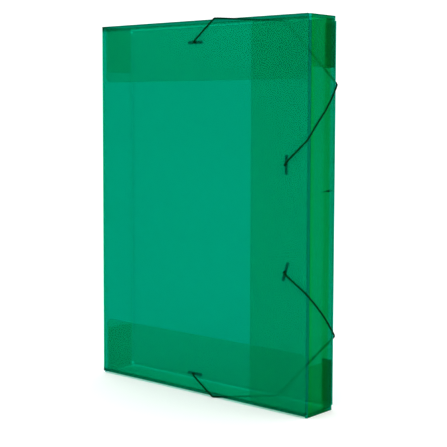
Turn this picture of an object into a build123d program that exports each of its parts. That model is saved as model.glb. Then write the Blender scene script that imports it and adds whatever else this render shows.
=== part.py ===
from build123d import *
import os

# Elastic folder: a flat box for papers, die-cut and creased from thin translucent sheet.
# It stands on one end. X runs from the spine to the fore edge, Y from the cover to the back
# and Z up. The origin is at the middle of the bottom of the box. All sizes are in millimetres.

# Driving dimensions of the closed box
box_width = 245.0
box_height = 335.0
box_depth = 40.0
sheet = 0.5

# Creases: a rolled film, flush with the outer faces, that bends about one axis per corner
corner_radius = 0.9
film = 0.25
crease_reach = 1.2
crease_shoulder = 0.5

# The ends of the box are set in, so that the elastics pass over and under them
end_inset = 2.1
cover_lift = 1.9
cover_corner = 3.0
wall_corner = 2.5

# Layers under the cover
flap_gap = 0.3
flap_corner = 6.0
end_flap_depth = 51.0
fore_flap_depth = 62.0
flap_side_gap = 1.5

# Tabs at the ends of the top and bottom walls, welded to the inside of the walls they meet
tab_length = 41.0
tab_foot = 10.0
tab_side_gap = 1.0

# T-bars that end each elastic behind the cover, and the holes they are pulled up to
bar_length = 17.0
bar_diameter = 2.0
bar_seat_depth = 0.2
bar_end_taper = 0.5
neck_diameter = 1.8
neck_proud = 0.25
hole_clearance = 0.3
lower_bar_tilt = 17.0
end_hole_x = -2.6
fore_hole_inset = 22.6
top_hole_drop = 19.2
upper_fore_hole_drop = 124.2
lower_fore_hole_z = 121.2
bottom_hole_z = 18.0

# Elastics
elastic_diameter = 1.6
elastic_facets = 12
elastic_gap = 0.15
exit_rise = 1.75
exit_bend = 1.6
edge_bend = 1.5
wall_bend = 20.0
upper_front_crossing_x = 21.9
upper_back_crossing_x = 67.5
upper_back_corner_z = 277.6
upper_front_corner_z = 231.8
lower_front_crossing_x = 21.0
lower_back_crossing_x = 62.0
lower_back_corner_z = 63.8
lower_front_corner_z = 105.2

# Places worked out from the sizes above
left, right = -box_width / 2, box_width / 2
front, back = -box_depth / 2, box_depth / 2
wall_top = box_height - end_inset
wall_bottom = end_inset
setback = corner_radius + crease_reach
fore_flap_front = front + sheet + bar_diameter - bar_seat_depth + flap_gap
end_flap_front = fore_flap_front + sheet + flap_gap
middle_z = box_height / 2
fore_hole_x = right - fore_hole_inset
top_hole_z = box_height - top_hole_drop
upper_fore_hole_z = box_height - upper_fore_hole_drop


def creased_corner(middle, first_panel, second_panel, length):
    """Film round one corner: panels run from the axis at middle along the two directions."""
    normal = Vector(first_panel).cross(Vector(second_panel))
    inner = corner_radius - sheet
    thin = corner_radius - film
    bend_to = crease_reach - crease_shoulder
    with BuildPart() as crease:
        with BuildSketch(Plane(origin=middle, x_dir=first_panel, z_dir=normal)):
            with BuildLine():
                Line((crease_reach, -corner_radius), (0, -corner_radius))
                RadiusArc((0, -corner_radius), (-corner_radius, 0), corner_radius)
                Polyline(
                    (-corner_radius, 0),
                    (-corner_radius, crease_reach),
                    (-inner, crease_reach),
                    (-thin, bend_to),
                    (-thin, 0),
                )
                RadiusArc((-thin, 0), (0, -thin), -thin)
                Polyline(
                    (0, -thin),
                    (bend_to, -thin),
                    (crease_reach, -inner),
                    (crease_reach, -corner_radius),
                )
            make_face()
        extrude(amount=length / 2, both=True)
    return crease


def save(piece, name):
    """Label one finished piece and write it to its own file."""
    piece.part.label = name
    export_step(piece.part, f"parts/{name}.step")


os.makedirs("parts", exist_ok=True)

# Back panel: the floor of the tray
panel_width = box_width - 2 * setback
panel_height = wall_top - wall_bottom - 2 * setback
with BuildPart() as back_panel:
    with BuildSketch(Plane.XZ.offset(-back)):
        with Locations((0, middle_z)):
            Rectangle(panel_width, panel_height)
    extrude(amount=sheet)

# Spine and fore-edge wall: full height, the folder stands on their ends
spine_depth = box_depth - 2 * setback
with BuildPart() as spine:
    with BuildSketch(Plane.YZ.offset(left)):
        with Locations((0, middle_z)):
            Rectangle(spine_depth, box_height)
    extrude(amount=sheet)

fore_wall_front = fore_flap_front + setback
fore_wall_back = back - setback
with BuildPart() as fore_edge_wall:
    with BuildSketch(Plane.YZ.offset(right)) as fore_wall_outline:
        with Locations(((fore_wall_front + fore_wall_back) / 2, middle_z)):
            Rectangle(fore_wall_back - fore_wall_front, box_height)
        fillet(fore_wall_outline.vertices().group_by(Axis.Y)[-1], wall_corner)
    extrude(amount=-sheet)

# Top and bottom walls
end_wall_front = end_flap_front + setback
end_wall_back = back - setback
end_wall_depth = end_wall_back - end_wall_front
end_wall_middle = (end_wall_front + end_wall_back) / 2
end_wall_half = right - sheet - corner_radius
with BuildPart() as top_wall:
    with BuildSketch(Plane.XY.offset(wall_top)):
        with Locations((0, end_wall_middle)):
            Rectangle(2 * end_wall_half, end_wall_depth)
    extrude(amount=-sheet)

with BuildPart() as bottom_wall:
    with BuildSketch(Plane.XY.offset(wall_bottom)):
        with Locations((0, end_wall_middle)):
            Rectangle(2 * end_wall_half, end_wall_depth)
    extrude(amount=sheet)

# Creases of the tray, all round the back panel
crease_x = right - corner_radius
crease_y = back - corner_radius
crease_top = wall_top - corner_radius
crease_bottom = wall_bottom + corner_radius
spine_back_crease = creased_corner((-crease_x, crease_y, middle_z), (1, 0, 0), (0, -1, 0), panel_height)
fore_back_crease = creased_corner((crease_x, crease_y, middle_z), (-1, 0, 0), (0, -1, 0), panel_height)
top_back_crease = creased_corner((0, crease_y, crease_top), (0, 0, -1), (0, -1, 0), panel_width)
bottom_back_crease = creased_corner((0, crease_y, crease_bottom), (0, 0, 1), (0, -1, 0), panel_width)


def corner_tab(side, end, foot):
    """Tab from the end of a top or bottom wall, bent down along the inside of the next wall."""
    face = side * (right - sheet)
    bend_x = side * end_wall_half
    outer_z = wall_top if end > 0 else wall_bottom
    bend_z = outer_z - end * corner_radius
    tip_z = outer_z - end * tab_length
    inner = corner_radius - sheet
    tab_front = end_wall_front + tab_side_gap
    tab_back = end_wall_back - tab_side_gap
    with BuildPart() as tab:
        with BuildSketch(Plane.XZ.offset(-tab_front)):
            with BuildLine():
                RadiusArc((bend_x, outer_z), (face, bend_z), side * end * corner_radius)
                Polyline(
                    (face, bend_z),
                    (face, tip_z),
                    (face - side * sheet, tip_z),
                    (face - side * sheet, bend_z),
                )
                RadiusArc((face - side * sheet, bend_z), (bend_x, outer_z - end * sheet), -side * end * inner)
                Line((bend_x, outer_z - end * sheet), (bend_x, outer_z))
            make_face()
        extrude(amount=tab_front - tab_back)
        if foot:
            # The foot turns onto the inside of the back panel
            foot_face = back - sheet
            foot_bend_y = foot_face - corner_radius
            foot_end = bend_x - side * tab_foot
            with BuildSketch(Plane.XY.offset(tip_z)):
                with BuildLine():
                    RadiusArc((face, foot_bend_y), (bend_x, foot_face), -side * corner_radius)
                    Polyline(
                        (bend_x, foot_face),
                        (foot_end, foot_face),
                        (foot_end, foot_face - sheet),
                        (bend_x, foot_face - sheet),
                    )
                    RadiusArc((bend_x, foot_face - sheet), (face - side * sheet, foot_bend_y), side * inner)
                    Polyline(
                        (face - side * sheet, foot_bend_y),
                        (face - side * sheet, tab_front),
                        (face, tab_front),
                        (face, foot_bend_y),
                    )
                make_face()
            extrude(amount=end * (tab_length - setback - crease_reach))
    return tab


for wall_name, wall_end in (("top", 1), ("bottom", -1)):
    for side_name, wall_side in (("spine", -1), ("fore", 1)):
        tab_piece = corner_tab(wall_side, wall_end, foot=wall_side > 0)
        save(tab_piece, f"{wall_name}_{side_name}_tab")

# Cover: one leaf hinged to the spine, with a round hole for each end of the elastics
cover_left = left + setback
cover_holes = {
    "top": (end_hole_x, top_hole_z, 0.0),
    "upper_fore": (fore_hole_x, upper_fore_hole_z, 90.0),
    "lower_fore": (fore_hole_x, lower_fore_hole_z, 90.0 - lower_bar_tilt),
    "bottom": (end_hole_x, bottom_hole_z, 0.0),
}
cover_height = box_height - cover_lift
cover_middle_z = cover_lift + cover_height / 2
with BuildPart() as cover:
    with BuildSketch(Plane.XZ.offset(-front)) as cover_outline:
        with Locations(((cover_left + right) / 2, cover_middle_z)):
            Rectangle(right - cover_left, cover_height)
        fillet(cover_outline.vertices().group_by(Axis.X)[-1], cover_corner)
        with Locations([(x, z) for x, z, _ in cover_holes.values()]):
            Circle(neck_diameter / 2 + hole_clearance, mode=Mode.SUBTRACT)
    extrude(amount=-sheet)
cover_crease = creased_corner(
    (-crease_x, front + corner_radius, cover_middle_z), (1, 0, 0), (0, 1, 0), cover_height
)

# T-bars: each lies flat on the inside of the cover, and its neck holds the elastic in the hole
bar_y = front + sheet + bar_diameter / 2 - bar_seat_depth
bar_radius = bar_diameter / 2
taper_start = bar_length / 2 - bar_end_taper
for bar_name, (bar_x, bar_z, bar_angle) in cover_holes.items():
    bar_direction = Vector(1, 0, 0).rotate(Axis.Y, -bar_angle)
    bar_plane = Plane(origin=(bar_x, bar_y, bar_z), x_dir=bar_direction, z_dir=(0, -1, 0))
    with BuildPart() as t_bar:
        with BuildSketch(bar_plane):
            with BuildLine():
                Polyline(
                    (-bar_length / 2, 0),
                    (bar_length / 2, 0),
                    (bar_length / 2, bar_radius - bar_end_taper),
                    (taper_start, bar_radius),
                    (-taper_start, bar_radius),
                    (-bar_length / 2, bar_radius - bar_end_taper),
                    close=True,
                )
            make_face()
        revolve(axis=Axis(bar_plane.origin, bar_plane.x_dir))
        split(bisect_by=Plane.XZ.offset(-front - sheet), keep=Keep.BOTTOM)
        with BuildSketch(Plane.XZ.offset(-bar_y)):
            with Locations((bar_x, bar_z)):
                Circle(neck_diameter / 2)
        extrude(amount=bar_y - front + neck_proud)
    save(t_bar, f"{bar_name}_t_bar")

# Flaps, folded in over the papers: the fore flap lies over the other two
flap_half = right - sheet - flap_side_gap
with BuildPart() as top_flap:
    with BuildSketch(Plane.XZ.offset(-end_flap_front)) as top_flap_outline:
        with Locations((0, wall_top - (setback + end_flap_depth) / 2)):
            Rectangle(2 * flap_half, end_flap_depth - setback)
        fillet(top_flap_outline.vertices().group_by(Axis.Z)[0], flap_corner)
    extrude(amount=-sheet)

with BuildPart() as bottom_flap:
    with BuildSketch(Plane.XZ.offset(-end_flap_front)) as bottom_flap_outline:
        with Locations((0, wall_bottom + (setback + end_flap_depth) / 2)):
            Rectangle(2 * flap_half, end_flap_depth - setback)
        fillet(bottom_flap_outline.vertices().group_by(Axis.Z)[-1], flap_corner)
    extrude(amount=-sheet)

flap_crease_y = end_flap_front + corner_radius
top_flap_crease = creased_corner((0, flap_crease_y, crease_top), (0, 0, -1), (0, 1, 0), 2 * flap_half)
bottom_flap_crease = creased_corner((0, flap_crease_y, crease_bottom), (0, 0, 1), (0, 1, 0), 2 * flap_half)

fore_flap_height = wall_top - wall_bottom
with BuildPart() as fore_flap:
    with BuildSketch(Plane.XZ.offset(-fore_flap_front)) as fore_flap_outline:
        with Locations((right - (setback + fore_flap_depth) / 2, middle_z)):
            Rectangle(fore_flap_depth - setback, fore_flap_height)
        fillet(fore_flap_outline.vertices().group_by(Axis.X)[0], flap_corner)
    extrude(amount=-sheet)
fore_flap_crease = creased_corner(
    (crease_x, fore_flap_front + corner_radius, middle_z), (-1, 0, 0), (0, 1, 0), fore_flap_height
)

# Elastics: hand-chosen routes from hole to hole, round the two corners of the fore edge
elastic_offset = elastic_diameter / 2 + elastic_gap
face_front = front - elastic_offset
face_back = back + elastic_offset
face_right = right + elastic_offset
neck_y = front - neck_proud
exit_y = neck_y - exit_rise
upper_route = [
    (end_hole_x, neck_y, top_hole_z),
    (end_hole_x, exit_y, top_hole_z),
    (upper_front_crossing_x, face_front, box_height + elastic_offset),
    (upper_back_crossing_x, face_back, wall_top + elastic_offset),
    (face_right, face_back, upper_back_corner_z),
    (face_right, 10.0, 262.0),
    (face_right, -7.0, 246.0),
    (face_right, face_front, upper_front_corner_z),
    (fore_hole_x, exit_y, upper_fore_hole_z),
    (fore_hole_x, neck_y, upper_fore_hole_z),
]
lower_route = [
    (end_hole_x, neck_y, bottom_hole_z),
    (end_hole_x, exit_y, bottom_hole_z),
    (lower_front_crossing_x, face_front, cover_lift - elastic_offset),
    (lower_back_crossing_x, face_back, wall_bottom - elastic_offset),
    (face_right, face_back, lower_back_corner_z),
    (face_right, 10.0, 77.0),
    (face_right, -7.0, 93.5),
    (face_right, face_front, lower_front_corner_z),
    (fore_hole_x, exit_y, lower_fore_hole_z),
    (fore_hole_x, neck_y, lower_fore_hole_z),
]
bend_radii = [exit_bend, edge_bend, edge_bend, edge_bend, wall_bend, wall_bend, edge_bend, exit_bend]

for route_name, route in (("upper_elastic", upper_route), ("lower_elastic", lower_route)):
    with BuildPart() as elastic:
        with BuildLine() as path:
            FilletPolyline(*route, radius=bend_radii)
        centre_line = path.wire()
        with BuildSketch(Plane(origin=centre_line @ 0, z_dir=centre_line % 0)):
            cord_section = RegularPolygon(elastic_diameter / 2, elastic_facets)
        sweep(path=centre_line)
    tube_length = centre_line.length
    section = cord_section.area
    print(route_name, "length", round(tube_length, 1), "bend radii", bend_radii)
    print(route_name, "volume over section times length", round(elastic.part.volume / (section * tube_length), 4))
    save(elastic, route_name)

for piece_name, piece in (
    ("back_panel", back_panel),
    ("spine", spine),
    ("fore_edge_wall", fore_edge_wall),
    ("top_wall", top_wall),
    ("bottom_wall", bottom_wall),
    ("spine_back_crease", spine_back_crease),
    ("fore_back_crease", fore_back_crease),
    ("top_back_crease", top_back_crease),
    ("bottom_back_crease", bottom_back_crease),
    ("cover", cover),
    ("cover_crease", cover_crease),
    ("top_flap", top_flap),
    ("top_flap_crease", top_flap_crease),
    ("bottom_flap", bottom_flap),
    ("bottom_flap_crease", bottom_flap_crease),
    ("fore_flap", fore_flap),
    ("fore_flap_crease", fore_flap_crease),
):
    save(piece, piece_name)
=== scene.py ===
import math

import bmesh
import bpy
from mathutils import Matrix, Vector


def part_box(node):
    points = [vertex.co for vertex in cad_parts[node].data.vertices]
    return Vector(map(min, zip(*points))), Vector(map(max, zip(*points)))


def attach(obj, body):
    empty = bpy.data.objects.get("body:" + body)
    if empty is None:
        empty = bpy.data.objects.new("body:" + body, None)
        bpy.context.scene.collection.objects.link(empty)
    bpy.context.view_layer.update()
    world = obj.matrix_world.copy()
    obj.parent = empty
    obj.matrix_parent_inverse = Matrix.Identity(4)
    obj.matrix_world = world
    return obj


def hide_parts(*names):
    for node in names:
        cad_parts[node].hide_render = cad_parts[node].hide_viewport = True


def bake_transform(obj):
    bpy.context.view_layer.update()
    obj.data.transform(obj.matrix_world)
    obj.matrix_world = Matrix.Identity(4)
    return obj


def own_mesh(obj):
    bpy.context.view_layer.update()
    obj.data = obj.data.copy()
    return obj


bl_info = {
    "name": "Elastic folder",
    "version": (1, 0, 0),
    "blender": (4, 5, 0),
    "location": "View3D > Sidebar > Folder",
    "description": "Builds a translucent box folder with creased sheets, corner elastics and their T-bars",
    "category": "Add Mesh",
}

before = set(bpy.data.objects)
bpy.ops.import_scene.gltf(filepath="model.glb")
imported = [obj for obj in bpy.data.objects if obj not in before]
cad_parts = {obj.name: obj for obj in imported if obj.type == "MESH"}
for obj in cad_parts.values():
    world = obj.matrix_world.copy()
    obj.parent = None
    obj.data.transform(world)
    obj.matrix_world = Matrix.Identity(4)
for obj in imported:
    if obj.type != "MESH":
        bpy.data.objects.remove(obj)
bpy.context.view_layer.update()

BAR_NODES = ("top_t_bar", "upper_fore_t_bar", "lower_fore_t_bar", "bottom_t_bar")
TAB_LOOKS = {
    "top_fore_tab": "tab_satin",
    "bottom_fore_tab": "tab_satin",
    "top_spine_tab": "flap_satin",
    "bottom_spine_tab": "flap_satin",
}

# Camera, from the fit to the outline's corners: metres, degrees and pixels
FRAME_PIXELS = 447.0
CAMERA_PLACE = (0.6507, -0.7344, 0.2565)
CAMERA_YAW = 40.89
CAMERA_PITCH = -4.13
CAMERA_ROLL = 0.18
FOCAL_PIXELS = 1085.3
HORIZON_ROW = 188.0
SENSOR_MM = 36.0

# Lamps: name, place, share of the key light's power, and width
LAMPS = (
    ("key_light", (1.0, -1.3, 1.2), 1.0, 1.2),
    ("fill_light", (-0.9, -1.0, 0.9), 0.5, 1.4),
)
LAMP_AIM = (0.0, 0.0, 0.16)
FLOOR_WIDTH = 12.0

# Panels: corner radii, steps round a corner, and steps along the two long axes of each kind of panel
WALL_CORNER = 0.0008
FLAP_CORNER = 0.006
CORNER_STEPS = 5
LEAF_GRID = (48, 64)
WALL_GRID = (12, 64)
END_WALL_GRID = (48, 12)
END_FLAP_GRID = (48, 16)
FORE_FLAP_GRID = (16, 64)
PUNCH_CLEARANCE = 0.0003
PUNCH_DEPTH = 0.01
PUNCH_SIDES = 32

# Creases: straight run beside the bend, steps round it, points along it, and how near vertices are joined
CREASE_RUN = 0.0005
BEND_STEPS = 12
CREASE_POINTS = 25
SEAM = 1e-7

# Kink pressed in the fore-edge wall. Its peak and spread are shares of its length, its crest of its width.
KINK_HEIGHT = 0.1882
KINK_LENGTH = 0.0165
KINK_STEPS = 16
KINK_PEAK = 0.62
KINK_SPREAD = 0.12
KINK_FAINTEST = 0.3
KINK_CREST = 0.3
KINK_HALF_WIDTH = 0.00015
KINK_SWELL = 0.00085
KINK_RISE = 0.00030
KINK_STAND = 0.00002
KINK_SINK = 0.00010
KINK_WAVE = 0.0004
KINK_WAVE_TURN = 3.0

# Elastics: relief of the braid, its map in millimetres, and how near points of a route are joined
BRAID_SIDES = 16
BRAID_STEP = 0.0003
BRAID_RELIEF = 0.05
ROUTE_MERGE = 1e-5
MILLIMETRE = 0.001

# T-bars: depth of the flat against the cover, the neck's reach past the sheet, and the soft edge
BAR_SIDES = 32
BAR_FLAT = 0.0002
NECK_PAST = 0.00025
NECK_CHAMFER = 0.0001
BAR_EDGE = 0.00006

# Outline of a T-bar: steps and first angle of its round end, then shares of its half length and radius
BAR_END_STEPS = 7
BAR_BLUNT = 0.2
BAR_WAIST = ((0.55, 0.97), (0.2, 0.93))

# Fine grain of each surface, as scale, strength and distance, and shades between dark and light:
# a tone that differs at random on the bars, and on the yarn painted shade in the braid's hollows
# and a painted highlight on its crests
SHEET_GRAIN = (2400.0, 0.02, 0.00003)
BAR_GRAIN = (2600.0, 0.12, 0.00005)
FLOOR_GRAIN = (900.0, 0.05, 0.0002)
BAR_SHADES = (0.8, 1.25)
YARN_SHADE_AND_HIGHLIGHT = (0.5, 1.8)

# Look of the sheets. Colours are the light that passes one face, and a gain multiplies red, green and blue.
PLAIN = (1.0, 1.0, 1.0)
FLOW_SCALE = 11.0
FLOW_STRETCH = (1.0, 1.0, 0.5)
FLOW_MARKS = ((0.30, 0.98), (0.70, 1.01))
SATIN_ROUGHNESS = (0.36, 0.50)
TRAY_GLOW = 0.5
SHEET_GLOW = 0.35
# End walls: a paler, more open copy of the sheet, painted light that softens the shade seen through them
END_WALL_PASSED = (0.012, 0.97, 0.95)
END_WALL_OPENNESS = 0.90
END_FLAP_PASSED = (0.012, 0.98, 0.94)
TAB_PASSED = (0.012, 0.93, 0.88)
# Darker shares of the sheet colour for the fore flap's crease: painted shade
CREASE_SHADE_LIT_SHARE = 0.72
CREASE_SHADE_PASSED_SHARE = 0.76
KINK_LIT_SHARE = 0.35
KINK_PASSED_SHARE = 0.40
KINK_OPENNESS = 0.93
KINK_GLOW = 0.05

# Gains along the sheets, as pairs of a place in metres and a gain
# Painted shade at the cover's two ends
COVER_END_SHADE = (
    (0.0, (1.0, 0.50, 0.46)),
    (0.0042, (1.0, 0.62, 0.58)),
    (0.0052, PLAIN),
    (0.3294, PLAIN),
    (0.3308, (1.0, 0.74, 0.68)),
    (0.3326, (1.0, 0.56, 0.50)),
    (0.3350, (1.0, 0.42, 0.38)),
)
# Painted shade on the fore-edge tabs, where they double up beside the back crease
TAB_DOUBLED_SHADE = (
    (-0.0200, PLAIN),
    (0.0060, PLAIN),
    (0.0068, (1.0, 0.66, 0.62)),
    (0.0200, (1.0, 0.60, 0.58)),
)
EDGE_DEPTH = (
    (-0.0160, (1.0, 1.00, 0.72)),
    (-0.0125, (1.0, 1.02, 0.86)),
    (-0.0090, (1.0, 1.00, 1.10)),
    (0.0010, (1.0, 1.00, 1.04)),
    (0.0060, (1.0, 0.93, 0.80)),
    (0.0110, (1.0, 0.92, 0.84)),
    (0.0130, (1.0, 1.00, 1.30)),
    (0.0200, (1.0, 0.98, 1.25)),
)
# Painted shade at the fore-edge wall's two ends
EDGE_END_SHADE = (
    (0.0, (1.0, 0.62, 0.60)),
    (0.0026, (1.0, 0.66, 0.64)),
    (0.0034, PLAIN),
    (0.3316, PLAIN),
    (0.3326, (1.0, 0.60, 0.58)),
    (0.3350, (1.0, 0.44, 0.42)),
)

# Routes of the two elastics, from hole to hole, in metres
UPPER_ROUTE = (
    (-0.0026, -0.02025, 0.3158),
    (-0.0026, -0.02175, 0.3158),
    (-0.0006, -0.022, 0.3174),
    (0.007, -0.0215, 0.3238),
    (0.0145, -0.0211, 0.3299),
    (0.0209, -0.0209, 0.33535),
    (0.0218, -0.02038, 0.33588),
    (0.029, -0.0145, 0.3356),
    (0.060, 0.014, 0.3341),
    (0.0664, 0.01983, 0.33378),
    (0.0678, 0.02085, 0.33275),
    (0.075, 0.02085, 0.3258),
    (0.116, 0.02085, 0.2851),
    (0.12233, 0.02085, 0.2786),
    (0.12335, 0.01983, 0.277),
    (0.12335, 0.015, 0.2697),
    (0.12335, 0.006, 0.258),
    (0.12335, -0.007, 0.246),
    (0.12335, -0.015, 0.238),
    (0.12335, -0.02037, 0.2324),
    (0.12285, -0.0209, 0.2315),
    (0.116, -0.0212, 0.2255),
    (0.107, -0.0218, 0.2174),
    (0.1014, -0.022, 0.2123),
    (0.0999, -0.02175, 0.2108),
    (0.0999, -0.02025, 0.2108),
)
LOWER_ROUTE = (
    (-0.0026, -0.02025, 0.018),
    (-0.0026, -0.02175, 0.018),
    (-0.0008, -0.022, 0.0166),
    (0.006, -0.0216, 0.0113),
    (0.0135, -0.0211, 0.0059),
    (0.0199, -0.0209, 0.00155),
    (0.0208, -0.02038, 0.00102),
    (0.028, -0.0145, 0.00102),
    (0.055, 0.0143, 0.00115),
    (0.0607, 0.01983, 0.00122),
    (0.0622, 0.02085, 0.00227),
    (0.070, 0.02085, 0.0097),
    (0.116, 0.02085, 0.0567),
    (0.12233, 0.02085, 0.0629),
    (0.12335, 0.01983, 0.0644),
    (0.12335, 0.015, 0.0705),
    (0.12335, 0.006, 0.0812),
    (0.12335, -0.007, 0.0935),
    (0.12335, -0.015, 0.1002),
    (0.12335, -0.02037, 0.1045),
    (0.12285, -0.0209, 0.1053),
    (0.116, -0.0212, 0.110),
    (0.107, -0.0218, 0.1158),
    (0.1014, -0.022, 0.1199),
    (0.0999, -0.02175, 0.1212),
    (0.0999, -0.02025, 0.1212),
)


def length_setting(name, description, default):
    """Setting for a length in metres."""
    return bpy.props.FloatProperty(name=name, description=description, default=default, unit="LENGTH")


def share_setting(name, description, default):
    """Setting for a share of light."""
    return bpy.props.FloatProperty(name=name, description=description, default=default, subtype="FACTOR")


def colour_setting(name, description, default):
    """Setting for a colour."""
    return bpy.props.FloatVectorProperty(name=name, description=description, default=default, subtype="COLOR")


class SheetSettings(bpy.types.PropertyGroup):
    """Sizes and colours of the creased plastic sheet."""

    thickness: length_setting("Sheet thickness", "Thickness of every panel", 0.0005)
    crease_film: length_setting("Crease film", "Thickness left where the sheet is rolled to bend", 0.00025)
    corner_radius: length_setting("Corner radius", "Outer radius of a creased corner", 0.0009)
    crease_reach: length_setting("Crease reach", "Distance from the bend's axis to each panel", 0.0012)
    cover_bow: length_setting("Cover bow", "How far the cover's middle stands out of flat", 0.0002)
    wall_bow: length_setting("Wall bow", "How far the tray's panels stand out of flat", 0.0001)
    edge_round: length_setting("Edge rounding", "Width of the soft edge left by the die", 0.00008)
    lit_colour: colour_setting("Sheet colour", "Light that the cover scatters back", (0.0003, 0.40, 0.25))
    passed_colour: colour_setting("Passed colour", "Light after one face of the cover", (0.012, 0.805, 0.675))
    glow_colour: colour_setting("Glow colour", "Light scattered through every sheet", (0.0003, 0.52, 0.26))
    openness: share_setting("Openness", "Share of each face that is seen through", 0.88)
    # The tray's colours: a brighter copy of the cover's sheet colour, painted light for the dim inside of the
    # box
    tray_lit: colour_setting("Tray colour", "Light that the tray scatters back", (0.0003, 0.475, 0.28))
    tray_passed: colour_setting("Tray passed colour", "Light after one face of the tray", (0.012, 0.78, 0.84))
    tray_openness: share_setting("Tray openness", "Share of each tray face that is seen through", 0.56)
    flap_lit: colour_setting("Flap colour", "Light that a flap scatters back", (0.0003, 0.50, 0.26))
    flap_passed: colour_setting(
        "Flap passed colour", "Light after one face of the fore flap", (0.012, 0.95, 0.86)
    )
    flap_openness: share_setting("Flap openness", "Share of each flap face that is seen through", 0.76)
    edge_lit: colour_setting(
        "Edge colour", "Light that the fore-edge wall scatters back", (0.0003, 0.42, 0.11)
    )
    edge_passed: colour_setting(
        "Edge passed colour", "Light after one face of the fore-edge wall", (0.012, 0.74, 0.46)
    )


class ElasticSettings(bpy.types.PropertyGroup):
    """Sizes and colour of the round elastics."""

    diameter: length_setting("Elastic diameter", "Outer diameter", 0.0016)
    upper_length: length_setting("Upper length", "Length of the upper elastic as stretched", 0.2684)
    lower_length: length_setting("Lower length", "Length of the lower elastic as stretched", 0.2644)
    braid_pitch: length_setting("Braid pitch", "Length of one turn of the braid", 0.0052)
    colour: colour_setting("Elastic colour", "Colour of the braided cover", (0.0003, 0.016, 0.004))


class BarSettings(bpy.types.PropertyGroup):
    """Sizes and colour of the moulded T-bars."""

    length: length_setting("Bar length", "End to end", 0.017)
    diameter: length_setting("Bar diameter", "Across the bar", 0.002)
    broadness: bpy.props.FloatProperty(
        name="Broadness", description="Width over depth of the bar", default=1.45
    )
    neck: length_setting("Neck diameter", "Neck that stands in the hole", 0.0018)
    colour: colour_setting("Bar colour", "Colour of the moulding", (0.002, 0.018, 0.009))


class StageSettings(bpy.types.PropertyGroup):
    """Floor and light."""

    floor_shade: share_setting("Floor shade", "Brightness of the floor", 0.93)
    floor_glow: bpy.props.FloatProperty(
        name="Floor glow", description="Light that lifts the floor to white", default=0.12
    )
    sky: bpy.props.FloatProperty(
        name="Sky", description="Strength of the even light", default=1.25
    )
    key: bpy.props.FloatProperty(
        name="Key light", description="Power of the large soft lamp", default=3.0, unit="POWER"
    )


def link(tree, source, target):
    """Join two sockets of one node tree."""
    tree.links.new(source, target)


def add(tree, kind, **values):
    """Add a node and set its inputs by name."""
    node = tree.nodes.new(kind)
    for name, value in values.items():
        node.inputs[name].default_value = value
    return node


def object_place(tree):
    """Socket of a point's place on the object."""
    return tree.nodes.new("ShaderNodeTexCoord").outputs["Object"]


def new_material(name):
    """An empty material with its output node."""
    material = bpy.data.materials.new(name)
    material.use_nodes = True
    tree = material.node_tree
    tree.nodes.clear()
    return material, tree, tree.nodes.new("ShaderNodeOutputMaterial")


def fine_bump(tree, scale, strength, distance):
    """Normal from a fine noise over the object."""
    noise = add(tree, "ShaderNodeTexNoise", Scale=scale, Detail=3.0, Roughness=0.6)
    bump = add(tree, "ShaderNodeBump", Strength=strength, Distance=distance)
    link(tree, object_place(tree), noise.inputs["Vector"])
    link(tree, noise.outputs["Fac"], bump.inputs["Height"])
    return bump.outputs["Normal"]


def bands(tree, axis, stops):
    """Colour gain along one object axis, from stops of place and gain."""
    first, last = stops[0][0], stops[-1][0]
    parts = tree.nodes.new("ShaderNodeSeparateXYZ")
    share = tree.nodes.new("ShaderNodeMapRange")
    share.inputs["From Min"].default_value = first
    share.inputs["From Max"].default_value = last
    ramp = tree.nodes.new("ShaderNodeValToRGB")
    link(tree, object_place(tree), parts.inputs["Vector"])
    link(tree, parts.outputs[axis], share.inputs["Value"])
    link(tree, share.outputs["Result"], ramp.inputs["Fac"])
    marks = ramp.color_ramp.elements
    while len(marks) < len(stops):
        marks.new(0.5)
    for mark, (where, gain) in zip(marks, stops):
        mark.position = (where - first) / (last - first)
        mark.color = (*gain, 1.0)
    return ramp.outputs["Color"]


def times(tree, first, second):
    """Product of two colour sockets."""
    product = tree.nodes.new("ShaderNodeMix")
    product.data_type = "RGBA"
    product.blend_type = "MULTIPLY"
    product.inputs[0].default_value = 1.0
    link(tree, first, product.inputs[6])
    link(tree, second, product.inputs[7])
    return product.outputs[2]


def mixed(tree, share, first, second):
    """Mix of two shader sockets, with the given share of the second."""
    mix = add(tree, "ShaderNodeMixShader", Fac=share)
    link(tree, first, mix.inputs[1])
    link(tree, second, mix.inputs[2])
    return mix.outputs["Shader"]


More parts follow.
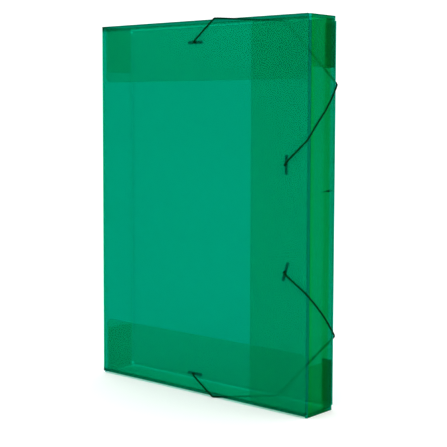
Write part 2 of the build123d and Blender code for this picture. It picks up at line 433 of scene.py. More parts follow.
def sheet_material(name, lit, passed, openness, gains=(), glow_share=SHEET_GLOW):
    """Translucent satin sheet: partly seen through, partly lit, with a fine grain and faint flow marks.

    gains are pairs of an object axis and the stops of a colour gain along it: painted shade at doubled
    and edge-on places, and soft bands of tint.
    """
    material, tree, output = new_material(name)
    flow = add(tree, "ShaderNodeMapping", Scale=FLOW_STRETCH)
    streaks = add(tree, "ShaderNodeTexNoise", Scale=FLOW_SCALE, Detail=1.0, Roughness=0.4)
    link(tree, object_place(tree), flow.inputs["Vector"])
    link(tree, flow.outputs["Vector"], streaks.inputs["Vector"])

    roughness = tree.nodes.new("ShaderNodeMapRange")
    roughness.inputs["To Min"].default_value, roughness.inputs["To Max"].default_value = SATIN_ROUGHNESS
    link(tree, streaks.outputs["Fac"], roughness.inputs["Value"])
    tint = tree.nodes.new("ShaderNodeValToRGB")
    for mark, (where, gain) in zip(tint.color_ramp.elements, FLOW_MARKS):
        mark.position = where
        mark.color = (*(value * gain for value in lit), 1.0)
    link(tree, streaks.outputs["Fac"], tint.inputs["Fac"])

    skin = add(tree, "ShaderNodeBsdfPrincipled", IOR=1.49)
    skin.inputs["Specular IOR Level"].default_value = 0.03
    skin.inputs["Specular Tint"].default_value = (0.0, 0.6, 0.35, 1.0)
    link(tree, roughness.outputs["Result"], skin.inputs["Roughness"])
    link(tree, fine_bump(tree, *SHEET_GRAIN), skin.inputs["Normal"])
    clear = add(tree, "ShaderNodeBsdfTransparent", Color=(*passed, 1.0))
    held = tint.outputs["Color"]
    if gains:
        through = tree.nodes.new("ShaderNodeRGB")
        through.outputs[0].default_value = (*passed, 1.0)
        seen = through.outputs[0]
        for axis, stops in gains:
            gain = bands(tree, axis, stops)
            held = times(tree, held, gain)
            seen = times(tree, seen, gain)
        link(tree, seen, clear.inputs["Color"])
    link(tree, held, skin.inputs["Base Color"])

    glow_colour = bpy.context.scene.folder_sheet.glow_colour
    glow = add(tree, "ShaderNodeBsdfTranslucent", Color=(*glow_colour, 1.0))
    body = mixed(tree, glow_share, skin.outputs["BSDF"], glow.outputs["BSDF"])
    surface = mixed(tree, 1.0 - openness, clear.outputs["BSDF"], body)
    link(tree, surface, output.inputs["Surface"])
    return material


def sheet_look(name):
    """Material of one kind of sheet: scattered and passed light, openness, gains and share of glow."""
    sheet = bpy.context.scene.folder_sheet
    lit, passed = Vector(sheet.lit_colour), Vector(sheet.passed_colour)
    edge_gains = (("Y", EDGE_DEPTH), ("Z", EDGE_END_SHADE))
    looks = {
        # Back panel, spine and the tray's creases, which scatter more light than the cover: a brighter copy
        # of the same sheet, painted light for the dimmer light inside the box
        "tray_satin": (sheet.tray_lit, sheet.tray_passed, sheet.tray_openness, (), TRAY_GLOW),
        # Cover and its crease, with painted shade at their ends, where they stand past the box
        "cover_satin": (lit, passed, sheet.openness, (("Z", COVER_END_SHADE),)),
        # End walls, seen edge-on, which let most light past: a paler, more open copy of the sheet,
        # painted light that softens the dark wedge of shade seen through them
        "end_wall_satin": (sheet.flap_lit, END_WALL_PASSED, END_WALL_OPENNESS),
        # Fore flap, the end flaps' creases and the tabs beside the spine
        "flap_satin": (sheet.flap_lit, sheet.flap_passed, sheet.flap_openness),
        # Top and bottom flaps, which take less of the light
        "end_flap_satin": (sheet.flap_lit, END_FLAP_PASSED, sheet.flap_openness),
        # Tabs in the fore edge, with painted shade where they double up beside the back crease
        "tab_satin": (sheet.flap_lit, TAB_PASSED, sheet.flap_openness, (("Y", TAB_DOUBLED_SHADE),)),
        # Fore-edge wall, with soft bands of tint across its depth and painted shade at its ends
        "edge_satin": (sheet.edge_lit, sheet.edge_passed, sheet.openness, edge_gains),
        # Rolled crease of the fore flap, darkened with painted shade into the darkest line of the folder
        "shaded_crease_satin": (lit * CREASE_SHADE_LIT_SHARE, passed * CREASE_SHADE_PASSED_SHARE, sheet.openness),
        # Short kink, where the bend blocks most of the light
        "kink_satin": (lit * KINK_LIT_SHARE, passed * KINK_PASSED_SHARE, KINK_OPENNESS, (), KINK_GLOW),
    }
    return bpy.data.materials.get(name) or sheet_material(name, *looks[name])


def shaded_ramp(tree, colour, darkest, lightest):
    """Colour ramp between a darker and a lighter shade of one colour."""
    ramp = tree.nodes.new("ShaderNodeValToRGB")
    for mark, gain in zip(ramp.color_ramp.elements, (darkest, lightest)):
        mark.color = (*(value * gain for value in colour), 1.0)
    return ramp


def braid_material():
    """Knitted cover of the elastic: two crossing sets of yarn on the piece's own UV map."""
    material, tree, output = new_material("braided_elastic")
    uv = tree.nodes.new("ShaderNodeUVMap")
    uv.uv_map = "braid"
    crossing = tree.nodes.new("ShaderNodeMath")
    crossing.operation = "MAXIMUM"
    for slot, turn in enumerate((math.pi / 4, -math.pi / 4)):
        mapping = add(tree, "ShaderNodeMapping", Rotation=(0.0, 0.0, turn))
        wave = add(tree, "ShaderNodeTexWave", Scale=1.1, Distortion=0.6, Detail=2.0)
        link(tree, uv.outputs["UV"], mapping.inputs["Vector"])
        link(tree, mapping.outputs["Vector"], wave.inputs["Vector"])
        link(tree, wave.outputs["Fac"], crossing.inputs[slot])
    bump = add(tree, "ShaderNodeBump", Strength=0.6, Distance=0.00012)
    link(tree, crossing.outputs["Value"], bump.inputs["Height"])
    # Painted shade in the braid's hollows and a painted highlight on its crests, led by the same crossing as
    # the bump
    ramp = shaded_ramp(tree, bpy.context.scene.folder_elastic.colour, *YARN_SHADE_AND_HIGHLIGHT)
    link(tree, crossing.outputs["Value"], ramp.inputs["Fac"])
    yarn = add(tree, "ShaderNodeBsdfPrincipled", Roughness=0.78)
    yarn.inputs["Specular IOR Level"].default_value = 0.05
    yarn.inputs["Specular Tint"].default_value = (0.1, 0.6, 0.3, 1.0)
    link(tree, ramp.outputs["Color"], yarn.inputs["Base Color"])
    link(tree, bump.outputs["Normal"], yarn.inputs["Normal"])
    link(tree, yarn.outputs["BSDF"], output.inputs["Surface"])
    return material


def bar_material():
    """Dark moulded plastic with a faint orange-peel skin."""
    material, tree, output = new_material("moulded_bar")
    clouds = add(tree, "ShaderNodeTexNoise", Scale=420.0, Detail=2.0)
    ramp = shaded_ramp(tree, bpy.context.scene.folder_bar.colour, *BAR_SHADES)
    link(tree, object_place(tree), clouds.inputs["Vector"])
    link(tree, clouds.outputs["Fac"], ramp.inputs["Fac"])
    skin = add(tree, "ShaderNodeBsdfPrincipled", Roughness=0.42)
    skin.inputs["Specular IOR Level"].default_value = 0.2
    skin.inputs["Specular Tint"].default_value = (0.1, 0.6, 0.4, 1.0)
    link(tree, ramp.outputs["Color"], skin.inputs["Base Color"])
    link(tree, fine_bump(tree, *BAR_GRAIN), skin.inputs["Normal"])
    link(tree, skin.outputs["BSDF"], output.inputs["Surface"])
    return material


# Creases: the directions of the two panels from the bend, the axis it runs along, its moving body,
# its slot and its look
CREASES = {
    "spine_back_crease": ((1, 0, 0), (0, -1, 0), 2, "tray", "tray_sheet", "tray_satin"),
    "fore_back_crease": ((-1, 0, 0), (0, -1, 0), 2, "tray", "tray_sheet", "tray_satin"),
    "top_back_crease": ((0, 0, -1), (0, -1, 0), 0, "tray", "tray_sheet", "tray_satin"),
    "bottom_back_crease": ((0, 0, 1), (0, -1, 0), 0, "tray", "tray_sheet", "tray_satin"),
    "cover_crease": ((1, 0, 0), (0, 1, 0), 2, "cover", "cover_sheet", "cover_satin"),
    "top_flap_crease": ((0, 0, -1), (0, 1, 0), 0, "top_flap", "flap_sheet", "flap_satin"),
    "bottom_flap_crease": ((0, 0, 1), (0, 1, 0), 0, "bottom_flap", "flap_sheet", "flap_satin"),
    "fore_flap_crease": ((-1, 0, 0), (0, 1, 0), 2, "fore_flap", "flap_sheet", "shaded_crease_satin"),
}


def new_object(name, mesh):
    """Link a mesh to the scene as an object at the origin."""
    made = bpy.data.objects.new(name, mesh)
    bpy.context.scene.collection.objects.link(made)
    return made


def finished(source, name, sharp=35.0):
    """A plain mesh object from one with live modifiers. The source is removed."""
    graph = bpy.context.evaluated_depsgraph_get()
    mesh = bpy.data.meshes.new_from_object(source.evaluated_get(graph), depsgraph=graph)
    mesh.name = name
    old = source.data
    bpy.data.objects.remove(source)
    bpy.data.meshes.remove(old)
    mesh.polygons.foreach_set("use_smooth", [True] * len(mesh.polygons))
    mesh.set_sharp_from_angle(angle=math.radians(sharp))
    return new_object(name, mesh)


def form_mesh(form, name):
    """Turn a form's faces outwards and end it as a mesh."""
    bmesh.ops.recalc_face_normals(form, faces=form.faces)
    mesh = bpy.data.meshes.new(name)
    form.to_mesh(mesh)
    form.free()
    return mesh


def skin_rings(form, rings):
    """Close rings of vertices into one skin with a face at each end. Returns the faces between the rings."""
    sides = len(rings[0])
    faces = [
        form.faces.new((ring[k], ring[(k + 1) % sides], following[(k + 1) % sides], following[k]))
        for ring, following in zip(rings, rings[1:])
        for k in range(sides)
    ]
    form.faces.new(list(reversed(rings[0])))
    form.faces.new(rings[-1])
    return faces


def bevel(source, width, degrees):
    """Soften the sharp edges of an object."""
    soft = source.modifiers.new("edge", "BEVEL")
    soft.width = width
    soft.segments = 2
    soft.limit_method = "ANGLE"
    soft.angle_limit = math.radians(degrees)


def boolean(source, other, operation):
    """Join another object to this one or cut it out."""
    step = source.modifiers.new("boolean", "BOOLEAN")
    step.operation = operation
    step.solver = "EXACT"
    step.object = other


def corner_places(radius):
    """Distances from a panel's side over a rounded corner, closer together near the side."""
    if not radius:
        return [0.0]
    turns = (math.pi / 2 * i / CORNER_STEPS for i in range(CORNER_STEPS + 1))
    return [radius * (1 - math.cos(turn)) for turn in turns]


def row_places(size, start, end, steps):
    """Distances along one side of a panel, with its rounded corners at both ends."""
    first = corner_places(start)
    last = [size - place for place in reversed(corner_places(end))]
    middle = [first[-1] + (last[0] - first[-1]) * i / steps for i in range(1, steps)]
    return first + middle + last


def corner_inset(radius, distance):
    """How far a rounded corner draws the panel's side in, at a distance from its end."""
    if distance >= radius:
        return 0.0
    return radius - math.sqrt(max(radius**2 - (radius - distance) ** 2, 0.0))


def panel_mesh(name, low, high, normal, radii, bow, steps):
    """Middle surface of a flat panel that fills the box low to high, as a grid of quads.

    radii are the corner radii at (u0 v0, u1 v0, u1 v1, u0 v1), where u and v are the box's long axes.
    """
    flat = max(range(3), key=lambda axis: abs(normal[axis]))
    u_axis, v_axis = [axis for axis in range(3) if axis != flat]
    width, height = high[u_axis] - low[u_axis], high[v_axis] - low[v_axis]
    r00, r10, r11, r01 = radii
    middle = (low[flat] + high[flat]) / 2
    side = 1.0 if normal[flat] > 0 else -1.0
    form = bmesh.new()
    grid = []
    for v in row_places(height, max(r00, r10), max(r01, r11), steps[1]):
        start = max(corner_inset(r00, v), corner_inset(r01, height - v))
        end = width - max(corner_inset(r10, v), corner_inset(r11, height - v))
        line = []
        for i in range(steps[0] + 1):
            u = start + (end - start) * i / steps[0]
            lift = bow * math.sin(math.pi * u / width) * math.sin(math.pi * v / height)
            point = [0.0, 0.0, 0.0]
            point[u_axis], point[v_axis] = low[u_axis] + u, low[v_axis] + v
            point[flat] = middle + side * lift
            line.append(form.verts.new(point))
        grid.append(line)
    for lower, upper in zip(grid, grid[1:]):
        for i in range(steps[0]):
            form.faces.new((lower[i], lower[i + 1], upper[i + 1], upper[i]))
    return form_mesh(form, name)


def make_panel(name, node, body, normal, material, steps, radii=(0, 0, 0, 0), bow=0.0, holes=()):
    """One creased panel in the place of its CAD node: soft edges, a slight bow and any punched holes."""
    sheet = bpy.context.scene.folder_sheet
    low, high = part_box(node)
    source = new_object(name + "_flat", panel_mesh(name, low, high, normal, radii, bow, steps))
    wall = source.modifiers.new("thickness", "SOLIDIFY")
    wall.thickness = sheet.thickness
    wall.offset = 0.0
    punches = []
    for x, z in holes:
        bpy.ops.mesh.primitive_cylinder_add(
            vertices=PUNCH_SIDES,
            radius=bpy.context.scene.folder_bar.neck / 2 + PUNCH_CLEARANCE,
            depth=PUNCH_DEPTH,
            location=(x, low[1], z),
            rotation=(math.pi / 2, 0, 0),
        )
        punches.append(bpy.context.active_object)
        boolean(source, punches[-1], "DIFFERENCE")
    bevel(source, sheet.edge_round, 50)
    bpy.context.view_layer.update()
    panel = finished(source, name)
    for punch in punches:
        bpy.data.objects.remove(punch)
    panel.data.materials.clear()
    panel.data.materials.append(material)
    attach(panel, body)
    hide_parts(node)


def crease_profile():
    """Closed outline of a creased corner, one panel along +X and the other along +Y."""
    sheet = bpy.context.scene.folder_sheet
    outer, reach = sheet.corner_radius, sheet.crease_reach
    inner, thin = outer - sheet.thickness, outer - sheet.crease_film
    bend = reach - CREASE_RUN
    half_way = (reach + bend) / 2
    half_thin = (inner + thin) / 2
    turns = [math.pi / 2 * i / BEND_STEPS for i in range(BEND_STEPS + 1)]
    points = [(reach, -outer), (half_way, -outer), (bend, -outer)]
    points += [(-outer * math.sin(turn), -outer * math.cos(turn)) for turn in turns]
    points += [(-outer, bend), (-outer, half_way), (-outer, reach)]
    points += [(-inner, reach), (-half_thin, half_way), (-thin, bend)]
    points += [(-thin * math.cos(turn), -thin * math.sin(turn)) for turn in turns]
    points += [(bend, -thin), (half_way, -half_thin), (reach, -inner)]
    return points


def profile_object():
    """The crease's outline as a closed loop of edges."""
    points = crease_profile()
    mesh = bpy.data.meshes.new("crease_outline")
    edges = [(i, (i + 1) % len(points)) for i in range(len(points))]
    mesh.from_pydata([(x, y, 0.0) for x, y in points], edges, [])
    return new_object("crease_outline", mesh)


def end_with_material(tree, geometry, given):
    """Make the geometry real, give it its material and lead it to the tree's output."""
    realize = tree.nodes.new("GeometryNodeRealizeInstances")
    paint = tree.nodes.new("GeometryNodeSetMaterial")
    result = tree.nodes.new("NodeGroupOutput")
    link(tree, geometry, realize.inputs["Geometry"])
    link(tree, realize.outputs["Geometry"], paint.inputs["Geometry"])
    link(tree, given.outputs["Material"], paint.inputs["Material"])
    link(tree, paint.outputs["Geometry"], result.inputs["Geometry"])


def crease_tree(profile):
    """Geometry nodes that sweep the crease's profile along its length."""
    tree = bpy.data.node_groups.new("crease_sweep", "GeometryNodeTree")
    face = tree.interface
    face.new_socket("Geometry", in_out="OUTPUT", socket_type="NodeSocketGeometry")
    inputs = (("Length", "NodeSocketFloat"), ("Steps", "NodeSocketInt"), ("Material", "NodeSocketMaterial"))
    sockets = {}
    for name, kind in inputs:
        sockets[name] = face.new_socket(name, in_out="INPUT", socket_type=kind).identifier
    given = tree.nodes.new("NodeGroupInput")
    line = tree.nodes.new("GeometryNodeCurvePrimitiveLine")
    for end, share in (("Start", -0.5), ("End", 0.5)):
        part = tree.nodes.new("ShaderNodeMath")
        part.operation = "MULTIPLY"
        part.inputs[1].default_value = share
        place = tree.nodes.new("ShaderNodeCombineXYZ")
        link(tree, given.outputs["Length"], part.inputs[0])
        link(tree, part.outputs[0], place.inputs["Z"])
        link(tree, place.outputs[0], line.inputs[end])
    spread = tree.nodes.new("GeometryNodeResampleCurve")
    outline = add(tree, "GeometryNodeObjectInfo", Object=profile)
    to_curve = tree.nodes.new("GeometryNodeMeshToCurve")
    sweep = tree.nodes.new("GeometryNodeCurveToMesh")
    sweep.inputs["Fill Caps"].default_value = True
    link(tree, line.outputs["Curve"], spread.inputs["Curve"])
    link(tree, given.outputs["Steps"], spread.inputs["Count"])
    link(tree, outline.outputs["Geometry"], to_curve.inputs["Mesh"])
    link(tree, spread.outputs["Curve"], sweep.inputs["Curve"])
    link(tree, to_curve.outputs["Curve"], sweep.inputs["Profile Curve"])
    end_with_material(tree, sweep.outputs["Mesh"], given)
    return tree, sockets


def make_crease(name, tree, sockets, first, second, middle, length, material):
    """One rolled corner: swept by the nodes, then turned so that its panels lie along first and second."""
    holder = new_object(name + "_source", bpy.data.meshes.new(name + "_source"))
    sweep = holder.modifiers.new("sweep", "NODES")
    sweep.node_group = tree
    sweep[sockets["Length"]] = length
    sweep[sockets["Steps"]] = CREASE_POINTS
    sweep[sockets["Material"]] = material
    crease = finished(holder, name)
    turn = Matrix((first, second, first.cross(second))).transposed().to_4x4()
    crease.data.transform(Matrix.Translation(middle) @ turn)
    form = bmesh.new()
    form.from_mesh(crease.data)
    bmesh.ops.remove_doubles(form, verts=form.verts, dist=SEAM)
    bmesh.ops.recalc_face_normals(form, faces=form.faces)
    form.to_mesh(crease.data)
    form.free()
    return crease


def spline_points(name, route):
    """Points along the smooth line that follows a route."""
    curve = bpy.data.curves.new(name + "_line", "CURVE")
    curve.dimensions = "3D"
    curve.resolution_u = 12
    spline = curve.splines.new("NURBS")
    spline.points.add(len(route) - 1)
    for point, place in zip(spline.points, route):
        point.co = (*place, 1.0)
    spline.order_u = 3
    spline.use_endpoint_u = True
    line = new_object(name + "_line", curve)
    bpy.context.view_layer.update()
    graph = bpy.context.evaluated_depsgraph_get()
    mesh = bpy.data.meshes.new_from_object(line.evaluated_get(graph), depsgraph=graph)
    points = [vertex.co.copy() for vertex in mesh.vertices]
    bpy.data.objects.remove(line)
    bpy.data.meshes.remove(mesh)
    kept = [points[0]]
    for point in points[1:]:
        if (point - kept[-1]).length > ROUTE_MERGE:
            kept.append(point)
    return kept


def even_points(points, step):
    """Points at an even distance along a line of points, and the line's length."""
    places = [0.0]
    for a, b in zip(points, points[1:]):
        places.append(places[-1] + (b - a).length)
    total = places[-1]
    count = max(int(total / step), 2)
    made, index = [], 0
    for i in range(count + 1):
        target = total * i / count
        while index < len(places) - 2 and places[index + 1] < target:
            index += 1
        share = (target - places[index]) / (places[index + 1] - places[index])
        made.append(points[index].lerp(points[index + 1], min(max(share, 0.0), 1.0)))
    return made, total


def braided_tube(name, path, diameter, pitch):
    """Closed tube along a path, with the shallow relief of two crossing sets of yarn."""
    points, total = even_points(path, BRAID_STEP)
    form = bmesh.new()
    tangent = (points[1] - points[0]).normalized()
    normal = tangent.orthogonal().normalized()
    rings = []
    for i, point in enumerate(points):
        ahead = points[min(i + 1, len(points) - 1)]
        behind = points[max(i - 1, 0)]
        new_tangent = (ahead - behind).normalized()
        normal = (tangent.rotation_difference(new_tangent) @ normal).normalized()
        tangent = new_tangent
        other = tangent.cross(normal)
        along = total * i / (len(points) - 1) / pitch * 2 * math.pi
        ring = []
        for k in range(BRAID_SIDES):
            angle = 2 * math.pi * k / BRAID_SIDES
            relief = max(math.cos(2 * (angle + along)), math.cos(2 * (angle - along)))
            radius = diameter / 2 * (1 - BRAID_RELIEF + BRAID_RELIEF * relief)
            spoke = normal * math.cos(angle) + other * math.sin(angle)
            ring.append(form.verts.new(point + spoke * radius))
        rings.append(ring)
    layer = form.loops.layers.uv.new("braid")
    width, height = math.pi * diameter / BRAID_SIDES / MILLIMETRE, BRAID_STEP / MILLIMETRE
    for number, face in enumerate(skin_rings(form, rings)):
        i, k = divmod(number, BRAID_SIDES)
        face.smooth = True
        corners = ((k, i), (k + 1, i), (k + 1, i + 1), (k, i + 1))
        for loop, (around, forward) in zip(face.loops, corners):
            loop[layer].uv = (around * width, forward * height)
    return new_object(name, form_mesh(form, name))


def lathe(name, profile):
    """Closed turned form about the X axis."""
    form = bmesh.new()
    turns = [2 * math.pi * k / BAR_SIDES for k in range(BAR_SIDES)]
    rings = [
        [form.verts.new((x, radius * math.cos(turn), radius * math.sin(turn))) for turn in turns]
        for x, radius in profile
    ]
    skin_rings(form, rings)
    return new_object(name, form_mesh(form, name))


def bar_form():
    """One moulded T-bar: a waisted round bar with a flat against the cover, and its neck towards -Y."""
    bar = bpy.context.scene.folder_bar
    half, radius, neck_radius = bar.length / 2, bar.diameter / 2, bar.neck / 2
    turns = (BAR_BLUNT + (math.pi / 2 - BAR_BLUNT) * i / BAR_END_STEPS for i in range(BAR_END_STEPS + 1))
    side = [(-half + radius * (1 - math.cos(turn)), radius * math.sin(turn)) for turn in turns]
    side += [(-half * along, radius * waist) for along, waist in BAR_WAIST]
    body = lathe("bar_body", side + [(0.0, radius)] + [(-x, r) for x, r in reversed(side)])
    for vertex in body.data.vertices:
        vertex.co.y = max(vertex.co.y, BAR_FLAT - radius)
        vertex.co.z *= bar.broadness

    seat = radius - BAR_FLAT
    reach = seat + bpy.context.scene.folder_sheet.thickness + NECK_PAST
    neck_profile = (
        (0.0, neck_radius),
        (seat + PUNCH_CLEARANCE, neck_radius),
        (reach - NECK_CHAMFER, neck_radius),
        (reach, neck_radius - NECK_CHAMFER),
    )
    neck = lathe("bar_neck", neck_profile)
    neck.data.transform(Matrix.Rotation(-math.pi / 2, 4, "Z"))
    boolean(body, neck, "UNION")
    bevel(body, BAR_EDGE, 45)
    bpy.context.view_layer.update()
    made = finished(body, "bar_form", sharp=40.0)
    bpy.data.objects.remove(neck)
    return made


def bar_tree(form):
    """Geometry nodes that stand one T-bar at each point, turned by the point's own angle."""
    tree = bpy.data.node_groups.new("bar_places", "GeometryNodeTree")
    face = tree.interface
    face.new_socket("Geometry", in_out="INPUT", socket_type="NodeSocketGeometry")
    look = face.new_socket("Material", in_out="INPUT", socket_type="NodeSocketMaterial")
    face.new_socket("Geometry", in_out="OUTPUT", socket_type="NodeSocketGeometry")
    given = tree.nodes.new("NodeGroupInput")
    shape = add(tree, "GeometryNodeObjectInfo", Object=form)
    angle = tree.nodes.new("GeometryNodeInputNamedAttribute")
    angle.data_type = "FLOAT"
    angle.inputs["Name"].default_value = "turn"
    turn = tree.nodes.new("ShaderNodeCombineXYZ")
    stand = tree.nodes.new("GeometryNodeInstanceOnPoints")
    link(tree, given.outputs["Geometry"], stand.inputs["Points"])
    link(tree, shape.outputs["Geometry"], stand.inputs["Instance"])
    link(tree, angle.outputs["Attribute"], turn.inputs["Y"])
    link(tree, turn.outputs[0], stand.inputs["Rotation"])
    end_with_material(tree, stand.outputs["Instances"], given)
    return tree, look.identifier


class FOLDER_OT_stage(bpy.types.Operator):
    """Make the floor, the light and the camera"""

    bl_idname = "folder.stage"
    bl_label = "Stage"

    def execute(self, context):
        scene = context.scene
        stage = scene.folder_stage
        bpy.ops.mesh.primitive_plane_add(size=FLOOR_WIDTH, location=(0.0, 0.0, 0.0))
        floor = context.active_object
        floor.name = "floor"
        material, tree, output = new_material("floor_paper")
        skin = add(tree, "ShaderNodeBsdfPrincipled", Roughness=0.8)
        skin.inputs["Base Color"].default_value = (stage.floor_shade,) * 3 + (1.0,)
        skin.inputs["Specular IOR Level"].default_value = 0.1
        skin.inputs["Emission Color"].default_value = (1.0, 1.0, 1.0, 1.0)
        skin.inputs["Emission Strength"].default_value = stage.floor_glow
        link(tree, fine_bump(tree, *FLOOR_GRAIN), skin.inputs["Normal"])
        link(tree, skin.outputs["BSDF"], output.inputs["Surface"])
        floor.data.materials.append(material)

        world = bpy.data.worlds.new("studio")
        world.use_nodes = True
        sky = world.node_tree.nodes["Background"]
        sky.inputs["Color"].default_value = (1.0, 1.0, 1.0, 1.0)
        sky.inputs["Strength"].default_value = stage.sky
        scene.world = world
        for name, place, share, width in LAMPS:
            lamp = bpy.data.lights.new(name, "AREA")
            lamp.energy = stage.key * share
            lamp.size = width
            holder = bpy.data.objects.new(name, lamp)
            scene.collection.objects.link(holder)
            holder.location = place
            aim = Vector(LAMP_AIM) - Vector(place)
            holder.rotation_euler = aim.to_track_quat("-Z", "Y").to_euler()
        scene.view_settings.view_transform = "Standard"
        scene.cycles.transparent_max_bounces = 32

        lens = bpy.data.cameras.new("camera")
        lens.sensor_fit = "HORIZONTAL"
        lens.sensor_width = SENSOR_MM
        lens.lens = FOCAL_PIXELS / FRAME_PIXELS * SENSOR_MM
        lens.shift_y = (HORIZON_ROW - FRAME_PIXELS / 2) / FRAME_PIXELS
        lens.clip_start = 0.01
        lens.clip_end = 50.0
        camera = bpy.data.objects.new("camera", lens)
        scene.collection.objects.link(camera)
        camera.location = CAMERA_PLACE
        yaw = Matrix.Rotation(math.radians(CAMERA_YAW), 4, "Z")
        pitch = Matrix.Rotation(math.radians(90 + CAMERA_PITCH), 4, "X")
        roll = Matrix.Rotation(math.radians(CAMERA_ROLL), 4, "Z")
        camera.rotation_euler = (yaw @ pitch @ roll).to_euler()
        scene.camera = camera
        return {"FINISHED"}


class FOLDER_OT_elastics(bpy.types.Operator):
    """Lay the two braided elastics along their routes"""

    bl_idname = "folder.elastics"
    bl_label = "Elastics"

    def execute(self, context):
        elastic = context.scene.folder_elastic
        look = braid_material()
        for name, route, length, joint in (
            ("upper_elastic", UPPER_ROUTE, elastic.upper_length, "upper_elastic_swing"),
            ("lower_elastic", LOWER_ROUTE, elastic.lower_length, "lower_elastic_swing"),
        ):
            path = spline_points(name, route)
            cord = braided_tube(name + "_cord", path, elastic.diameter, elastic.braid_pitch)
            cord.data.materials.append(look)
            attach(cord, name)
            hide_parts(name)
            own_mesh(cord)
        return {"FINISHED"}


class FOLDER_OT_cover(bpy.types.Operator):
    """Make the cover with its four punched holes"""

    bl_idname = "folder.cover"
    bl_label = "Cover"

    def execute(self, context):
        boxes = [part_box(node) for node in BAR_NODES]
        make_panel(
            "cover_panel",
            "cover",
            "cover",
            (0, -1, 0),
            sheet_look("cover_satin"),
            LEAF_GRID,
            radii=(0, WALL_CORNER, WALL_CORNER, 0),
            bow=context.scene.folder_sheet.cover_bow,
            holes=[((low[0] + high[0]) / 2, (low[2] + high[2]) / 2) for low, high in boxes],
        )
        return {"FINISHED"}


class FOLDER_OT_tray(bpy.types.Operator):
    """Make the tray's five panels and give its tabs their look"""

    bl_idname = "folder.tray"
    bl_label = "Tray walls"

    def execute(self, context):
        bow = context.scene.folder_sheet.wall_bow
        edge_radii = (WALL_CORNER, 0, 0, WALL_CORNER)
        square = (0, 0, 0, 0)
        for name, node, normal, look, steps, radii, lift in (
            ("back_panel_sheet", "back_panel", (0, 1, 0), "tray_satin", LEAF_GRID, square, bow),
            ("spine_sheet", "spine", (-1, 0, 0), "tray_satin", WALL_GRID, square, bow),
            ("fore_edge_sheet", "fore_edge_wall", (1, 0, 0), "edge_satin", WALL_GRID, edge_radii, bow),
            ("top_wall_sheet", "top_wall", (0, 0, 1), "end_wall_satin", END_WALL_GRID, square, -bow),
            ("bottom_wall_sheet", "bottom_wall", (0, 0, -1), "end_wall_satin", END_WALL_GRID, square, -bow),
        ):
            material = sheet_look(look)
            make_panel(name, node, "tray", normal, material, steps, radii=radii, bow=lift)
        for node, look in TAB_LOOKS.items():
            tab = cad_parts[node]
            tab.data.materials.clear()
            tab.data.materials.append(sheet_look(look))
        return {"FINISHED"}


class FOLDER_OT_flaps(bpy.types.Operator):
    """Make the three flaps that fold in over the papers"""

    bl_idname = "folder.flaps"
    bl_label = "Flaps"

    def execute(self, context):
        r = FLAP_CORNER
        for node, look, steps, radii in (
            ("top_flap", "end_flap_satin", END_FLAP_GRID, (r, r, 0, 0)),
            ("bottom_flap", "end_flap_satin", END_FLAP_GRID, (0, 0, r, r)),
            ("fore_flap", "flap_satin", FORE_FLAP_GRID, (r, 0, 0, r)),
        ):
            material = sheet_look(look)
            make_panel(node + "_sheet", node, node, (0, -1, 0), material, steps, radii=radii)
        return {"FINISHED"}


class FOLDER_OT_creases(bpy.types.Operator):
    """Sweep the eight rolled creases and hang the tray's creases on the tray"""

    bl_idname = "folder.creases"
    bl_label = "Creases"

    def execute(self, context):
        sheet = context.scene.folder_sheet
        outline = profile_object()
        tree, sockets = crease_tree(outline)
        for node, (first, second, along, body, slot, look) in CREASES.items():
            low, high = (Vector(corner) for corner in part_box(node))
            middle = (low + high) / 2
            first, second = Vector(first), Vector(second)
            away = first + second
            for axis in range(3):
                if away[axis]:
                    corner = low[axis] if away[axis] > 0 else high[axis]
                    middle[axis] = corner + away[axis] * sheet.corner_radius
            # The fore flap's crease runs the wall's whole height, so that no gap shows at its ends
            if node == "fore_flap_crease":
                low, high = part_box("fore_edge_wall")
                middle[along] = (high[along] + low[along]) / 2
            length = high[along] - low[along]
            material = sheet_look(look)
            crease = make_crease(node + "_film", tree, sockets, first, second, middle, length, material)
            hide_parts(node)
            if body == "tray":
                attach(crease, "tray")
            else:
                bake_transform(crease)
        bpy.data.objects.remove(outline)
        return {"FINISHED"}


class FOLDER_OT_crimp(bpy.types.Operator):
    """Press the short kink into the fore-edge wall"""

    bl_idname = "folder.crimp"
    bl_label = "Kink"

    def execute(self, context):
        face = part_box("fore_edge_wall")[1][0]
        form = bmesh.new()
        rows = []
        for i in range(KINK_STEPS + 1):
            share = i / KINK_STEPS
            y = KINK_LENGTH * share
            z = KINK_HEIGHT + KINK_WAVE * math.sin(KINK_WAVE_TURN * share)
            peak = math.exp(-(((share - KINK_PEAK) / KINK_SPREAD) ** 2))
            swell = math.sin(math.pi * share) * (KINK_FAINTEST + (1 - KINK_FAINTEST) * peak)
            half = KINK_HALF_WIDTH + KINK_SWELL * swell
            top = face + KINK_STAND + KINK_RISE * swell
            foot = face - KINK_SINK
            crest = KINK_CREST * half
            outline = ((foot, -half), (top, -crest), (top, crest), (foot, half))
            rows.append([form.verts.new((x, y, z + rise)) for x, rise in outline])
        skin_rings(form, rows)
        kink = new_object("wall_kink", form_mesh(form, "wall_kink"))
        kink.data.materials.append(sheet_look("kink_satin"))
        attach(kink, "tray")
        return {"FINISHED"}


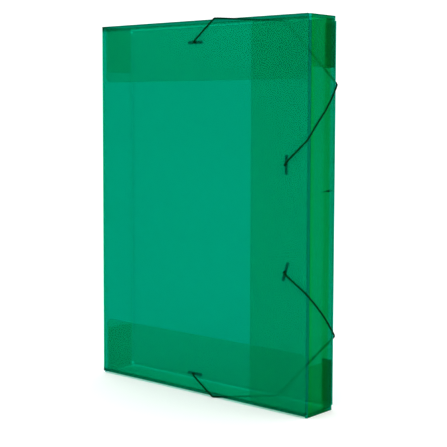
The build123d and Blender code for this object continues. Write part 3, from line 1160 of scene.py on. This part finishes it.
class FOLDER_OT_bars(bpy.types.Operator):
    """Stand a T-bar behind each hole of the cover"""

    bl_idname = "folder.bars"
    bl_label = "T-bars"

    def execute(self, context):
        bar = context.scene.folder_bar
        form = bar_form()
        tree, look_socket = bar_tree(form)
        places, turns = [], []
        seat_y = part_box("cover")[1][1] + bar.diameter / 2 - BAR_FLAT
        for node in BAR_NODES:
            low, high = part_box(node)
            places.append(((low[0] + high[0]) / 2, seat_y, (low[2] + high[2]) / 2))
            across = high[0] - low[0] - bar.diameter
            upright = high[2] - low[2] - bar.diameter
            turns.append(-math.atan2(upright, across))
        mesh = bpy.data.meshes.new("bar_points")
        mesh.from_pydata(places, [], [])
        mesh.attributes.new("turn", "FLOAT", "POINT").data.foreach_set("value", turns)
        holder = new_object("bar_points", mesh)
        stand = holder.modifiers.new("places", "NODES")
        stand.node_group = tree
        stand[look_socket] = bar_material()
        bars = finished(holder, "t_bars", sharp=40.0)
        bpy.data.objects.remove(form)
        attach(bars, "cover")
        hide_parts(*BAR_NODES)
        return {"FINISHED"}


class FOLDER_PT_panel(bpy.types.Panel):
    """Sizes, colours and steps of the folder"""

    bl_idname = "FOLDER_PT_panel"
    bl_label = "Elastic folder"
    bl_space_type = "VIEW_3D"
    bl_region_type = "UI"
    bl_category = "Folder"

    def draw(self, context):
        for group_name in GROUPS:
            group = getattr(context.scene, group_name)
            box = self.layout.box()
            for name in group.bl_rna.properties.keys():
                if name not in {"name", "rna_type"}:
                    box.prop(group, name)
        for operator in OPERATORS:
            self.layout.operator(operator.bl_idname)


GROUPS = {
    "folder_sheet": SheetSettings,
    "folder_elastic": ElasticSettings,
    "folder_bar": BarSettings,
    "folder_stage": StageSettings,
}
OPERATORS = (
    FOLDER_OT_stage,
    FOLDER_OT_elastics,
    FOLDER_OT_cover,
    FOLDER_OT_tray,
    FOLDER_OT_flaps,
    FOLDER_OT_creases,
    FOLDER_OT_crimp,
    FOLDER_OT_bars,
)
CLASSES = (*GROUPS.values(), *OPERATORS, FOLDER_PT_panel)


def register():
    """Add the classes and the scene's property groups."""
    for made in CLASSES:
        bpy.utils.register_class(made)
    for name, group in GROUPS.items():
        setattr(bpy.types.Scene, name, bpy.props.PointerProperty(type=group))


def unregister():
    """Remove the property groups and the classes."""
    for name in GROUPS:
        delattr(bpy.types.Scene, name)
    for made in reversed(CLASSES):
        bpy.utils.unregister_class(made)


def main():
    """Build the whole folder."""
    register()
    bpy.ops.folder.stage()
    bpy.ops.folder.elastics()
    bpy.ops.folder.cover()
    bpy.ops.folder.tray()
    bpy.ops.folder.flaps()
    bpy.ops.folder.creases()
    bpy.ops.folder.crimp()
    bpy.ops.folder.bars()


if __name__ == "__main__":
    main()
